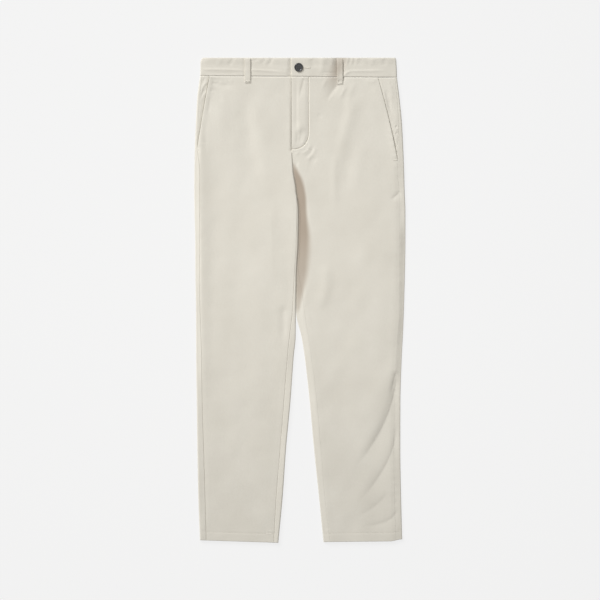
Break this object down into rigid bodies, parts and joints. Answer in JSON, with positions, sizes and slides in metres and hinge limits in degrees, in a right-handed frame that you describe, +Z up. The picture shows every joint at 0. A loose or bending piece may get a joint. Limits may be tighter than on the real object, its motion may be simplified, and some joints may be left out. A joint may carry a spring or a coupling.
{
  "type": "chino trousers",
  "caption": "Long tapered cotton trousers laid flat, front up, with slanted side pockets, a buttoned fly front and a belt-loop waistband.",
  "frame": {"origin": "on the underside, at the middle of the outline as seen from above", "axes": "+Y from the hems to the waist, +X from the wearer's right side to the left side, +Z up out of the front"},
  "size_m": [0.4542, 1.043, 0.0102],
  "materials": {
    "cotton_twill": "off-white cotton twill with a soft matt nap",
    "button_resin": "dark grey polished resin"
  },
  "bodies": {
    "root": {"front_right_panel": "cotton_twill", "front_left_panel": "cotton_twill", "back_right_panel": "cotton_twill", "back_left_panel": "cotton_twill", "pocket_facing_right": "cotton_twill", "pocket_facing_left": "cotton_twill", "fly_underlap": "cotton_twill", "waistband_right": "cotton_twill", "waistband_left": "cotton_twill", "belt_loop_right": "cotton_twill", "belt_loop_left": "cotton_twill", "waist_button": "button_resin"}
  },
  "joints": []
}
